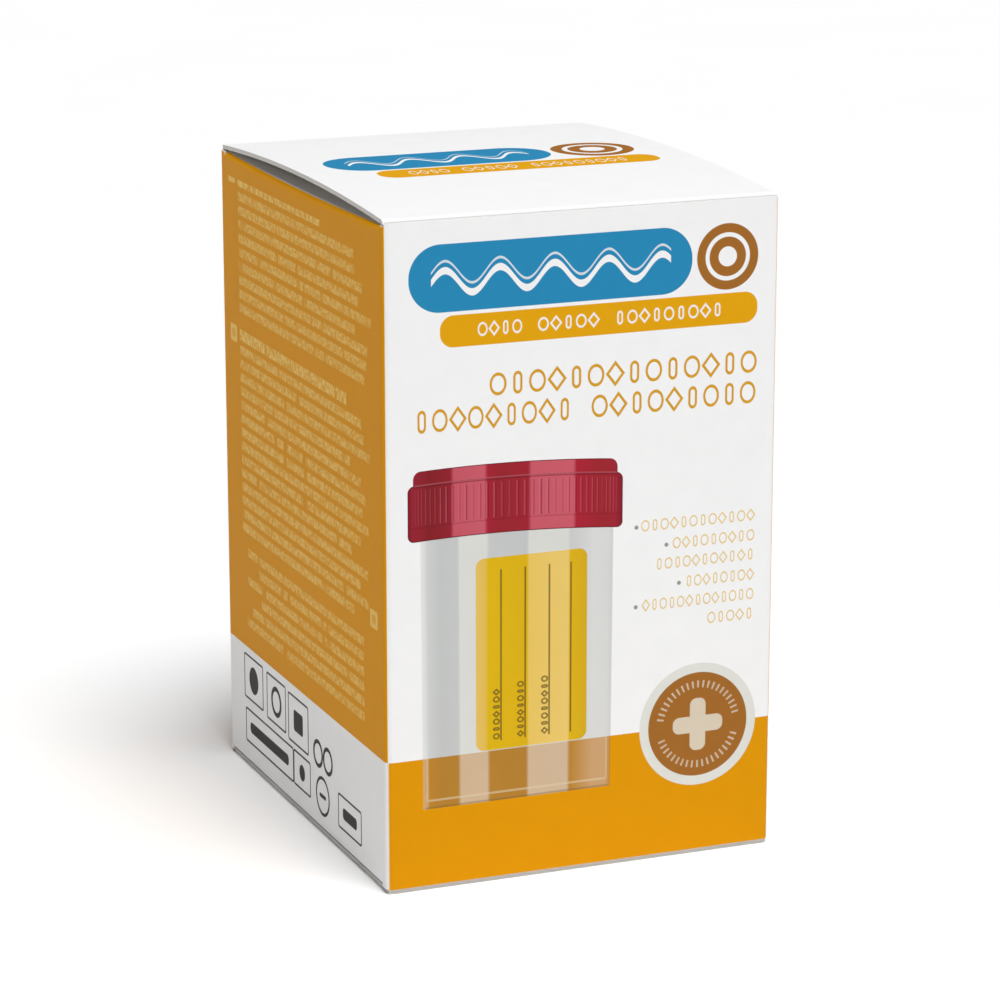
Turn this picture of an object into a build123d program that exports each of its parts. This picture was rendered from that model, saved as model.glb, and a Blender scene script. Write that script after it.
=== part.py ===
"""Folding carton with tuck closures and the screw-capped specimen container that it holds.

Millimetres, +Z up. The origin is the middle of the carton's base, and the printed front faces -Y.
The board carton is one folded and glued piece, apart from its two hinged closure panels.
"""
from build123d import *
import os
from math import asin, atan, cos, degrees, radians, sin

# Carton: outside sizes and board
carton_width = 47.0
carton_depth = 56.0
carton_height = 76.0
board = 0.5
corner_radius = 0.8
layer_gap = 0.1
glue_flap_width = 11.0
glue_flap_end_gap = 3.0
glue_flap_end_slope = 3.0
seam_inset = 0.3

# Closure panels: the lid at the top and the matching one at the base
closure_side_gap = 0.3
hinge_gap = 0.05
lid_arch = 1.0
tuck_length = 13.0
tuck_gap = 0.15
tuck_side_inset = 1.0
tuck_corner_radius = 6.0
tuck_lean_margin = 1.5
fold_radius = 0.4
lid_edge_drop = 0.2
slit_length = 4.0
slit_width = 0.3
slit_drop = 0.15

# Dust flaps, one pair at the top and one at the base
dust_flap_length = 19.0
dust_flap_shoulder = 3.5
dust_flap_taper = 6.0
dust_flap_tuck_gap = 2.2
dust_flap_hinge_gap = 0.3
dust_flap_corner_radius = 2.5
crease_radius = 0.7
crease_sag = 0.4
crease_end_gap = 0.3
crease_overlap = 0.1

# Room that the container has inside the carton, under the dust flaps and beside the cap
container_head_room = 9.8
container_side_gap = 1.25

# Jar: an injection-moulded cup with a gentle taper and a plain neck under its cap
jar_taper = 0.8
jar_wall = 1.1
jar_floor = 1.3
jar_foot_recess = 0.8
jar_foot_width = 2.4
jar_foot_radius = 1.2
jar_shoulder = 0.6
neck_step = 0.5
neck_height = 11.2
neck_bead = 0.7
neck_bead_height = 1.4
neck_bead_drop = 2.6

# Label stuck round the jar
label_arc = 76.0
label_turn = 12.5
label_rise = 9.5
label_cap_gap = 4.1
label_thickness = 0.12
label_air = 0.02
label_corner_radius = 2.6

# Screw cap
cap_height = 13.5
cap_wall = 1.25
cap_top_wall = 1.3
cap_thread_gap = 0.35
cap_seat_gap = 0.1
cap_crown_step = 0.6
cap_crown_height = 1.7
cap_crown_rounding = 0.7
cap_skirt_band = 2.3
band_slope_share = 0.8
rib_root_depth = 0.55
rib_groups = 10
ribs_per_group = 5
rib_pitch_angle = 3.6
rib_width = 0.75
plug_gap = 0.15
plug_wall = 1.0
plug_depth = 3.2

# Sampling spoon pressed into the cap
boss_radius = 3.4
boss_depth = 4.0
peg_radius = 2.0
peg_interference = 0.02
peg_length = 3.4
spoon_tip_gap = 3.0
stem_width = 3.0
stem_thickness = 1.6
stem_tip_width = 2.2
collar_radius = 3.0
collar_height = 1.2
scoop_length = 15.0
scoop_radius = 4.6
scoop_wall = 0.8

# Places that follow from the sizes
half_width = carton_width / 2
half_depth = carton_depth / 2
hinge_height = carton_height - board / 2
hinge_setback = half_depth - board / 2
flap_level = carton_height - board - layer_gap
crease_front = corner_radius + crease_end_gap - half_depth
crease_back = half_depth - board - corner_radius - crease_end_gap
crease_run = crease_back - crease_front
crease_middle = (crease_back + crease_front) / 2

# Levels of the container, which stands on the base closure
jar_base_level = 2 * board + layer_gap
cap_top_level = flap_level - crease_sag - board - container_head_room
cap_ceiling_level = cap_top_level - cap_top_wall
cap_base_level = cap_top_level - cap_height
jar_rim_level = cap_ceiling_level - cap_seat_gap
neck_base_level = jar_rim_level - neck_height
jar_body_height = neck_base_level - jar_base_level
label_height = cap_base_level - label_cap_gap - jar_base_level - label_rise

# Radii of the container, from the carton inwards
cap_radius = min(half_width, half_depth) - board - container_side_gap
cap_root_radius = cap_radius - rib_root_depth
cap_crown_radius = cap_root_radius - cap_crown_step
cap_bore_radius = cap_root_radius - cap_wall
neck_radius = cap_bore_radius - cap_thread_gap - neck_bead
jar_bore_radius = neck_radius - jar_wall
jar_top_radius = neck_radius + neck_step
jar_base_radius = jar_top_radius - jar_taper


def extruded_along_x(profile, length):
    """Extrude a face of the YZ plane by half the length to each side."""
    return extrude(profile, amount=length / 2, dir=(1, 0, 0), both=True)


def turned(outline):
    """Turn a face drawn as radius and height into a solid of revolution about Z."""
    return revolve(Plane.XZ * outline, axis=Axis.Z)


def corner_at(face, x, y):
    """The corner of a flat face nearest to a point."""
    return face.vertices().sort_by_distance((x, y, 0))[0]


def upside_down(solid):
    """Turn a part of the top closure into the same part of the base closure."""
    middle = Axis((0, 0, carton_height / 2), (1, 0, 0))
    return solid.rotate(middle, 180)


# Carton sleeve

def wall_section():
    """Section of the four panels and the glue flap inside the back panel."""
    seam_line = half_depth - board
    walls = FilletPolyline(
        (half_width, seam_line - corner_radius),
        (half_width, -half_depth),
        (-half_width, -half_depth),
        (-half_width, half_depth),
        (half_width - seam_inset, half_depth),
        radius=corner_radius,
    )
    seam = FilletPolyline(
        (half_width, seam_line - 2 * corner_radius),
        (half_width, seam_line),
        (half_width - glue_flap_width, seam_line),
        radius=corner_radius,
    )
    wall_face = make_face(offset(walls, amount=board, side=Side.LEFT, closed=True))
    seam_face = make_face(offset(seam, amount=board, side=Side.LEFT, closed=True))
    return wall_face, seam_face


def glue_flap(face):
    """The seam strip, with its two ends cut on a slope."""
    back_of_strip = half_depth - 1.5 * board
    low = 2 * board + layer_gap + glue_flap_end_gap
    high = carton_height - low
    left = half_width - glue_flap_width
    outline = Polyline(
        (left, back_of_strip, low + glue_flap_end_slope),
        (half_width, back_of_strip, low),
        (half_width, back_of_strip, high),
        (left, back_of_strip, high - glue_flap_end_slope),
        close=True,
    )
    keep = extrude(make_face(outline), amount=2 * corner_radius, dir=(0, 1, 0), both=True)
    return extrude(face, amount=carton_height) & keep


def trimmed_walls(face):
    """The four panels, each cut to its own height at the top and the base."""
    walls = extrude(face, amount=carton_height)
    side_trim = Pos(0, 0, flap_level) * Box(
        2 * carton_width, carton_depth - 2 * board, carton_height,
        align=(Align.CENTER, Align.CENTER, Align.MIN),
    )
    crease_trim = Pos(0, crease_middle, flap_level - crease_radius) * Box(
        2 * carton_width, crease_run - 2 * crease_overlap, carton_height,
        align=(Align.CENTER, Align.CENTER, Align.MIN),
    )
    for trim in (side_trim, crease_trim):
        walls -= trim
        walls -= upside_down(trim)
    edge_strip = Box(
        2 * carton_width, corner_radius, carton_height,
        align=(Align.CENTER, Align.MIN, Align.MIN),
    )
    hinge_cut = Pos(0, half_depth - corner_radius, carton_height - board - hinge_gap) * edge_strip
    walls -= hinge_cut
    walls -= upside_down(hinge_cut)
    walls -= Pos(0, -half_depth, carton_height - lid_edge_drop) * edge_strip
    return walls


def dust_flap_profile(level):
    """L-shaped section of the left side crease at the top, in the XZ plane."""
    leg = crease_radius + crease_sag + board
    bend = FilletPolyline(
        (-half_width, 0, level - leg),
        (-half_width, 0, level),
        (-half_width + dust_flap_length, 0, level),
        radius=crease_radius,
    )
    plane_line = Plane.XZ.to_local_coords(bend)
    face = make_face(offset(plane_line, amount=board, side=Side.RIGHT, closed=True))
    return Plane.XZ * face


def dust_flap_outline():
    """Outline of the left dust flap seen from above, with a tapered edge next to the tuck."""
    front = -half_depth + board + dust_flap_tuck_gap
    back = crease_back - dust_flap_hinge_gap
    root = -half_width
    shoulder = root + dust_flap_shoulder
    tip = root + dust_flap_length
    outline = Polyline(
        (root, front),
        (shoulder, front),
        (tip, front + dust_flap_taper),
        (tip, back),
        (root, back),
        close=True,
    )
    face = make_face(outline)
    tips = face.vertices().group_by(Axis.X)[-1]
    return fillet(tips, radius=dust_flap_corner_radius)


def dust_flap(sag):
    """Left dust flap at the top: the section carried along its crease, which dips by sag."""
    profile = Pos(0, crease_middle, -sag) * dust_flap_profile(flap_level)
    if sag > 0:
        reach = (crease_run ** 2 / 4 + sag ** 2) / (2 * sag)
        half_turn = degrees(asin(crease_run / 2 / reach))
        centre = Axis((0, crease_middle, flap_level - sag + reach), (1, 0, 0))
        strip = revolve(profile.rotate(centre, -half_turn), axis=centre, revolution_arc=2 * half_turn)
    else:
        strip = extrude(profile, amount=crease_run / 2, dir=(0, 1, 0), both=True)
    slab = Pos(-half_width, 0, 0) * Box(
        dust_flap_length + corner_radius, carton_depth, carton_height,
        align=(Align.MIN, Align.CENTER, Align.MIN),
    )
    outside = slab - extrude(dust_flap_outline(), amount=carton_height)
    return strip - Pos(0, 0, flap_level - crease_radius) * outside


def carton_sleeve():
    """Four panels, the glued seam and four dust flaps, as one folded piece."""
    wall_face, seam_face = wall_section()
    flaps = [dust_flap(crease_sag), upside_down(dust_flap(0))]
    flaps += [mirror(flap, about=Plane.YZ) for flap in flaps]
    return trimmed_walls(wall_face) + [glue_flap(seam_face), *flaps]


# Closure panels

def tuck_lean():
    """Lean of the tuck flap that lets it swing past the cut edge of the front panel."""
    swing_arm = hinge_setback + half_depth - board - tuck_gap
    return degrees(atan(tuck_length / (2 * swing_arm))) + tuck_lean_margin


def closure_profile(arch):
    """Section of a closure panel, its fold and its tuck flap, in the YZ plane."""
    fold_line = -half_depth + board + tuck_gap + board / 2
    lean = radians(tuck_lean())
    hinge = (hinge_setback, hinge_height)
    crown = ((hinge_setback + fold_line) / 2, hinge_height + arch)
    corner = (fold_line, hinge_height)
    tip = (fold_line + tuck_length * sin(lean), hinge_height - tuck_length * cos(lean))
    if arch > 0:
        panel = ThreePointArc(hinge, crown, corner)
    else:
        panel = Line(hinge, corner)
    centre_line = Wire([panel, Line(corner, tip)])
    folded = centre_line.fillet_2d(fold_radius, [corner_at(centre_line, *corner)])
    return Plane.YZ * make_face(offset(folded, amount=board / 2, side=Side.BOTH, closed=True))


def closure_outline():
    """Outline of the closure seen from the front: the panel, and the narrower tuck flap.

    A short slit at each end of the fold frees the tuck flap's shoulders, which lock the closure.
    """
    panel_half = half_width - closure_side_gap
    tuck_half = panel_half - tuck_side_inset
    fold_level = carton_height - board - layer_gap / 2
    panel = Pos(0, fold_level) * Rectangle(
        2 * panel_half, carton_height, align=(Align.CENTER, Align.MIN)
    )
    tuck = Pos(0, carton_height - tuck_length - board) * Rectangle(
        2 * tuck_half, tuck_length, align=(Align.CENTER, Align.MIN)
    )
    lower = tuck.vertices().group_by(Axis.Y)[0]
    tuck = fillet(lower, radius=tuck_corner_radius)
    for side in (-1, 1):
        tuck -= Pos(side * tuck_half, fold_level - slit_drop - slit_width / 2) * Rectangle(
            2 * slit_length, slit_width
        )
    return Plane.XZ * (panel + tuck)


def closure(arch):
    """Closure panel with a rounded bead along its crease and a tuck flap at its free edge."""
    folded = extruded_along_x(closure_profile(arch), carton_width)
    keep = extrude(closure_outline(), amount=carton_depth, both=True)
    return folded & keep


# Jar and label

def jar_radius_at(level):
    """Outside radius of the tapered body at a level above the jar's base."""
    share = level / jar_body_height
    return jar_base_radius + (jar_top_radius - jar_base_radius) * share


def jar():
    """Tapered cup with a recessed foot, a low shoulder and a neck with a sealing bead."""
    recess_radius = jar_base_radius - jar_foot_width
    outline = Polyline(
        (0, jar_foot_recess),
        (recess_radius - jar_foot_recess, jar_foot_recess),
        (recess_radius, 0),
        (jar_base_radius, 0),
        (jar_top_radius, jar_body_height),
        (neck_radius, jar_body_height + jar_shoulder),
        (neck_radius, jar_body_height + neck_height),
        (jar_bore_radius, jar_body_height + neck_height),
        (jar_bore_radius, jar_body_height),
        (jar_base_radius - jar_wall, jar_foot_recess + jar_floor),
        (0, jar_foot_recess + jar_floor),
        close=True,
    )
    face = make_face(outline)
    foot = corner_at(face, jar_base_radius, 0)
    inner_foot = corner_at(face, jar_base_radius - jar_wall, jar_foot_recess + jar_floor)
    cup = turned(fillet([foot, inner_foot], radius=jar_foot_radius))
    bead_level = jar_body_height + neck_height - neck_bead_drop
    bead = turned(make_face(Polyline(
        (neck_radius - jar_wall / 2, bead_level - neck_bead_height / 2),
        (neck_radius, bead_level - neck_bead_height / 2),
        (neck_radius + neck_bead, bead_level - neck_bead_height / 4),
        (neck_radius + neck_bead, bead_level + neck_bead_height / 4),
        (neck_radius, bead_level + neck_bead_height / 2),
        (neck_radius - jar_wall / 2, bead_level + neck_bead_height / 2),
        close=True,
    )))
    return Pos(0, 0, jar_base_level) * (cup + bead)


def jar_label():
    """Thin label that follows the jar's taper, with rounded corners."""
    low = label_rise
    high = label_rise + label_height
    inner_low = jar_radius_at(low) + label_air
    inner_high = jar_radius_at(high) + label_air
    strip = make_face(Plane.XZ * Polyline(
        (inner_low, low),
        (inner_low + label_thickness, low),
        (inner_high + label_thickness, high),
        (inner_high, high),
        close=True,
    ))
    patch = revolve(strip.rotate(Axis.Z, -label_arc / 2), axis=Axis.Z, revolution_arc=label_arc)
    chord = 2 * (jar_radius_at(low) + label_thickness) * sin(radians(label_arc / 2))
    outline = Plane.YZ * Pos(0, low + label_height / 2) * RectangleRounded(
        chord, label_height, label_corner_radius
    )
    patch &= extrude(outline, amount=2 * jar_top_radius, dir=(1, 0, 0))
    return Pos(0, 0, jar_base_level) * patch.rotate(Axis.Z, label_turn - 90)


# Screw cap and spoon

def cap_shell():
    """Cap without its ribs: stepped crown, skirt, foot band, sealing plug and spoon boss."""
    crown_step = cap_top_level - cap_crown_height
    plug_outside = jar_bore_radius - plug_gap
    outline = make_face(Polyline(
        (0, cap_top_level),
        (cap_crown_radius, cap_top_level),
        (cap_crown_radius, crown_step),
        (cap_root_radius, crown_step),
        (cap_root_radius, cap_base_level + cap_skirt_band),
        (cap_radius, cap_base_level + cap_skirt_band),
        (cap_radius, cap_base_level),
        (cap_bore_radius, cap_base_level),
        (cap_bore_radius, cap_ceiling_level),
        (plug_outside, cap_ceiling_level),
        (plug_outside, cap_ceiling_level - plug_depth),
        (plug_outside - plug_wall, cap_ceiling_level - plug_depth),
        (plug_outside - plug_wall, cap_ceiling_level),
        (boss_radius, cap_ceiling_level),
        (boss_radius, cap_ceiling_level - boss_depth),
        (peg_radius, cap_ceiling_level - boss_depth),
        (peg_radius, cap_ceiling_level),
        (0, cap_ceiling_level),
        close=True,
    ))
    crown = corner_at(outline, cap_crown_radius, cap_top_level)
    outline = fillet(crown, radius=cap_crown_rounding)
    band = corner_at(outline, cap_radius, cap_base_level + cap_skirt_band)
    return turned(chamfer(band, length=rib_root_depth * band_slope_share))


def cap_ribs():
    """Grip ribs in even groups round the cap, between the crown and the foot band."""
    low = cap_base_level + cap_skirt_band - rib_root_depth
    high = cap_top_level - cap_crown_height
    rib = Pos(cap_root_radius - rib_root_depth, 0, low) * Box(
        2 * rib_root_depth - rib_root_depth / 4, rib_width, high - low,
        align=(Align.MIN, Align.CENTER, Align.MIN),
    )
    outer = rib.edges().filter_by(Axis.Z).group_by(Axis.X)[-1]
    rib = fillet(outer, radius=rib_width / 3)
    ribs = []
    for group in range(rib_groups):
        group_angle = group * 360 / rib_groups
        for place in range(ribs_per_group):
            angle = group_angle + (place - (ribs_per_group - 1) / 2) * rib_pitch_angle
            ribs.append(rib.rotate(Axis.Z, angle))
    return ribs


def screw_cap():
    """Ribbed screw cap."""
    return cap_shell().fuse(*cap_ribs())


def spoon():
    """Sampling spoon: a peg, a collar, a tapering stem and a half-round scoop."""
    boss_level = cap_ceiling_level - boss_depth
    tip_level = jar_base_level + jar_foot_recess + jar_floor + spoon_tip_gap
    scoop_top = tip_level + scoop_length
    peg = Pos(0, 0, boss_level) * Cylinder(
        peg_radius + peg_interference, peg_length, align=(Align.CENTER, Align.CENTER, Align.MIN)
    )
    collar = Pos(0, 0, boss_level - collar_height) * Cylinder(
        collar_radius, collar_height, align=(Align.CENTER, Align.CENTER, Align.MIN)
    )
    stem_foot = scoop_top - scoop_wall * 2
    stem = loft([
        Plane((0, 0, stem_foot)) * Rectangle(stem_tip_width, stem_thickness),
        Plane((0, 0, boss_level - collar_height)) * Rectangle(stem_width, stem_thickness),
    ])
    return peg + collar + stem + scoop(tip_level, scoop_top)


def scoop(low, high):
    """Half-round scoop: an outer arc and an inner arc turned half a turn about Z."""
    middle = (low + high) / 2
    outer = ThreePointArc((0, low), (scoop_radius, middle), (0, high))
    inner = ThreePointArc(
        (0, high - scoop_wall), (scoop_radius - scoop_wall, middle), (0, low + scoop_wall)
    )
    ends = [Line((0, high), (0, high - scoop_wall)), Line((0, low + scoop_wall), (0, low))]
    section = make_face([outer, ends[0], inner, ends[1]])
    return revolve(Plane.XZ * section, axis=Axis.Z, revolution_arc=180)


def build():
    """Every node of the part by its name."""
    return {
        "carton_sleeve": carton_sleeve(),
        "top_lid": closure(lid_arch),
        "bottom_lid": upside_down(closure(0)),
        "jar": jar(),
        "jar_label": jar_label(),
        "screw_cap": screw_cap(),
        "spoon": spoon(),
    }


if __name__ == "__main__":
    os.makedirs("parts", exist_ok=True)
    for node, solid in build().items():
        export_step(solid, f"parts/{node}.step")
        box = solid.bounding_box()
        print(node, len(solid.solids()), round(solid.volume, 1), box.min, box.max)
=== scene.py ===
"""Looks of a small folding carton and of the screw-capped container inside it.

The file is laid out as a Blender add-on and is run as a script. Every length in a property is in
metres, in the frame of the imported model. Artwork is drawn by shader maths in millimetres.
"""
import math
from functools import partialmethod

import bmesh
import bpy
import numpy as np
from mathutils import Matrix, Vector


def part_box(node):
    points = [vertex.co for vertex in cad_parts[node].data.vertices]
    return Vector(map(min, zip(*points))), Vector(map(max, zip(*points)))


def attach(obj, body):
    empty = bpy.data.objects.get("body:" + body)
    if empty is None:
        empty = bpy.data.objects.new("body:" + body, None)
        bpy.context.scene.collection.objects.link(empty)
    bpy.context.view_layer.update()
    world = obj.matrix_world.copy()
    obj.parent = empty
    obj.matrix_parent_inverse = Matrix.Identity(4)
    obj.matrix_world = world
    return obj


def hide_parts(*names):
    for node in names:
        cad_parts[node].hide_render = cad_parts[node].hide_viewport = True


bl_info = {
    "name": "Folding carton finishes",
    "version": (1, 0, 0),
    "blender": (4, 5, 0),
    "location": "View3D > Sidebar > Carton",
    "description": "Board panels, print and plastic finishes for a folding carton and its container",
    "category": "Object",
}

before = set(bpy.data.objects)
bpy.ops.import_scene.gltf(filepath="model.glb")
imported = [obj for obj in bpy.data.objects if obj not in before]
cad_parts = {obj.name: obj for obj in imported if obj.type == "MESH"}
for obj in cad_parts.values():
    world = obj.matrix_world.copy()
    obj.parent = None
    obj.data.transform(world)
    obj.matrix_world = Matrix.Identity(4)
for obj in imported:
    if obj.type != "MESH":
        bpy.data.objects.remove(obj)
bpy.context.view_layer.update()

MM = 0.001
PER_METRE = 1000.0

# A front or back panel ends short of the carton's full height: by HINGE_DROP where a closure is
# hinged on it, and by EDGE_DROP where a closure tucks in behind it
HINGE_DROP = 0.55 * MM
EDGE_DROP = 0.2 * MM

# The frame's own sizes
_, sleeve_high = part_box("carton_sleeve")
_, lid_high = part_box("top_lid")
_, jar_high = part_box("jar")
CARTON_HEIGHT = sleeve_high.z + EDGE_DROP

# Height of the strips of side wall that belong to the folds of the dust flaps
TOP_STRIP = 2.6 * MM
BASE_STRIP = 1.2 * MM

# Dust flaps: the gap under a closure, how far a fold's ends keep from the upright folds, the inset
# and taper of the front edge, where the taper starts, and the radius of the tip's corners
FLAP_GAP = 0.1 * MM
CREASE_CLEAR = 0.3 * MM
FLAP_INSET = 2.2 * MM
FLAP_TAPER = 6 * MM
TAPER_START = 3.5 * MM
FLAP_CORNER = 2.5 * MM

# Glue flap: how far its ends start from the panel's, past two boards, and how much they slope
GLUE_START = 3.1 * MM
GLUE_SLOPE = 3.0 * MM

# Closures: the inset of the panel's sides, the width of a shoulder beside the tuck flap, the gap
# behind the wall it tucks into, its extra lean, its fold's radius and its corners' radius
PANEL_INSET = 0.3 * MM
SHOULDER = 1.0 * MM
TUCK_GAP = 0.15 * MM
TUCK_LEAN = math.radians(1.5)
TUCK_FOLD = 0.4 * MM
TUCK_CORNER = 6 * MM

# Slits of a closure: their width and how far their middle lies under the fold
SLIT_WIDTH = 0.3 * MM
SLIT_DROP = 0.3 * MM

# Half the length over which an outline steps from one width to the next
HAIR = 0.01 * MM

# Top of the foot band in the artwork's millimetres
FOOT_BAND = 15.4

# The photograph's camera: its place, how far it looks down and turns, in degrees, and its lens
CAMERA_PLACE = (-0.160733, -0.400364, 0.147554)
CAMERA_DOWN = 14.433
CAMERA_TURN = -22.036
LENS_MM = 136.181

# Key light: strength, softness as an angle in radians, and the way to it
KEY_STRENGTH = 3.4
KEY_ANGLE = 0.6
KEY_WAY = (0.03, -0.36, 1.0)

# Brightness of the upper sky against the white horizon, and the heights between which it falls off
SKY = 0.05
HORIZON = (0.04, 0.16)


# Inks and board colours, as 8-bit display values

def ink(red, green, blue):
    """A display colour from 0 to 255 as the linear colour that shaders use."""
    share = np.array([red, green, blue]) / 255
    linear = np.where(share <= 0.04045, share / 12.92, ((share + 0.055) / 1.055) ** 2.4)
    return (*linear.tolist(), 1.0)


def colour_property(name, description, colour):
    """A colour that a user can change, from a linear colour."""
    return bpy.props.FloatVectorProperty(name=name, description=description, subtype="COLOR",
                                         min=0.0, max=1.0, default=colour[:3])


RAW_BOARD = ink(222, 219, 213)
RAW_FIBRE = ink(190, 185, 176)
CUT_EDGE = ink(236, 234, 231)


class CartonColours(bpy.types.PropertyGroup):
    """Inks of the print and colours of the plastics."""

    board_white: colour_property("Board white", "Unprinted coated board", ink(244, 244, 244))
    ochre: colour_property("Ochre", "Sides and foot band", ink(222, 150, 0))
    strip_ochre: colour_property("Strip ochre", "Strip of the header plate", ink(226, 163, 12))
    band_blue: colour_property("Band blue", "Band of the header plate", ink(40, 136, 182))
    disc_brown: colour_property("Disc brown", "Disc of the header plate and seal", ink(161, 104, 42))
    cream: colour_property("Cream", "Plus and marks on the seal", ink(216, 203, 181))
    heading: colour_property("Heading", "Marks of the headings", ink(212, 156, 34))
    list_ink: colour_property("List", "Marks of the list", ink(228, 196, 120))
    small_print: colour_property("Small print", "Greeked small print on the ochre", ink(246, 214, 122))
    outline: colour_property("Outline", "Outlines and shapes on the white band", ink(60, 57, 55))
    crimson: colour_property("Crimson", "Cap of the container", ink(168, 34, 52))
    label_yellow: colour_property("Label yellow", "Film label of the container", ink(224, 178, 20))
    plastic: colour_property("Jar plastic", "Natural plastic of the jar", ink(226, 229, 230))


def paint(name):
    """A colour of the colour group as shaders take it."""
    return (*getattr(bpy.context.scene.carton_colours, name), 1.0)


# Shader maths

class Field:
    """A shader socket that takes part in Python arithmetic. Each operation adds a Math node."""

    def __init__(self, finish, socket):
        self.finish = finish
        self.socket = socket

    def math(self, operation, *others, clamp=False):
        return self.finish.math(operation, self, *others, clamp=clamp)

    __add__ = __radd__ = partialmethod(math, "ADD")
    __mul__ = __rmul__ = partialmethod(math, "MULTIPLY")
    __sub__ = partialmethod(math, "SUBTRACT")
    __truediv__ = partialmethod(math, "DIVIDE")
    __lt__ = partialmethod(math, "LESS_THAN")
    __gt__ = partialmethod(math, "GREATER_THAN")

    def __rsub__(self, other):
        return self.finish.math("SUBTRACT", other, self)

    def __rtruediv__(self, other):
        return self.finish.math("DIVIDE", other, self)


class Finish:
    """One material and its nodes: a Principled shader on a surface given in millimetres."""

    FACTOR, COLOUR_A, COLOUR_B, COLOUR_RESULT = 0, 6, 7, 2

    def __init__(self, name):
        self.material = bpy.data.materials.new(name)
        self.material.use_nodes = True
        self.tree = self.material.node_tree
        self.tree.nodes.clear()
        self.shader = self.tree.nodes.new("ShaderNodeBsdfPrincipled")
        output = self.tree.nodes.new("ShaderNodeOutputMaterial")
        self.tree.links.new(self.shader.outputs["BSDF"], output.inputs["Surface"])
        coordinate = self.node("ShaderNodeTexCoord")
        in_metres = Field(self, coordinate.outputs["Object"])
        self.place = self.vector("SCALE", in_metres, Scale=PER_METRE)

    def node(self, kind, settings=None, sockets=None):
        """A node of that type: its settings first, then the values or links of its sockets."""
        made = self.tree.nodes.new(kind)
        for key, value in (settings or {}).items():
            if key == "stops":
                ramp_stops(made.color_ramp, value)
            else:
                setattr(made, key, value)
        for key, value in (sockets or {}).items():
            self.feed(made.inputs[key], value)
        return made

    def feed(self, socket, value):
        if isinstance(value, Field):
            self.tree.links.new(value.socket, socket)
        else:
            socket.default_value = value

    def math(self, operation, *values, clamp=False):
        settings = {"operation": operation, "use_clamp": clamp}
        made = self.node("ShaderNodeMath", settings, dict(enumerate(values)))
        return Field(self, made.outputs[0])

    def vector(self, operation, *values, output="Vector", **named):
        sockets = {**dict(enumerate(values)), **named}
        made = self.node("ShaderNodeVectorMath", {"operation": operation}, sockets)
        return Field(self, made.outputs[output])

    def parts(self, vector):
        """The three components of a vector."""
        made = self.node("ShaderNodeSeparateXYZ", sockets={0: vector})
        return [Field(self, socket) for socket in made.outputs]

    def point(self, x, y, z=0.0):
        made = self.node("ShaderNodeCombineXYZ", sockets={0: x, 1: y, 2: z})
        return Field(self, made.outputs[0])

    def mix(self, share, under, over):
        """Colour over laid on colour under, by a share from 0 to 1."""
        sockets = {self.FACTOR: share, self.COLOUR_A: under, self.COLOUR_B: over}
        made = self.node("ShaderNodeMix", {"data_type": "RGBA"}, sockets)
        return Field(self, made.outputs[self.COLOUR_RESULT])

    def ramp(self, share, stops):
        """Colour read from stops of (place, colour) by a share from 0 to 1."""
        made = self.node("ShaderNodeValToRGB", {"stops": stops}, {"Fac": share})
        return Field(self, made.outputs["Color"])

    def noise(self, place, scale, detail=2.0, roughness=0.5):
        sockets = {"Vector": place, "Scale": scale, "Detail": detail, "Roughness": roughness}
        made = self.node("ShaderNodeTexNoise", sockets=sockets)
        return Field(self, made.outputs["Fac"])

    def bump(self, height, distance, strength=1.0):
        """Feed the shader's normal from a height from 0 to 1 over a distance in millimetres."""
        sockets = {"Height": height, "Distance": distance * MM, "Strength": strength}
        made = self.node("ShaderNodeBump", sockets=sockets)
        self.feed(self.shader.inputs["Normal"], Field(self, made.outputs["Normal"]))

    def set(self, **sockets):
        """Values or links of the shader's sockets, named with _ for a space."""
        for name, value in sockets.items():
            self.feed(self.shader.inputs[name.replace("_", " ")], value)
        return self


def ramp_stops(ramp, stops):
    """Set a colour ramp to stops of (place, colour)."""
    while len(ramp.elements) < len(stops):
        ramp.elements.new(1.0)
    for element, (place, colour) in zip(ramp.elements, stops):
        element.position = place
        element.color = colour


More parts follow.
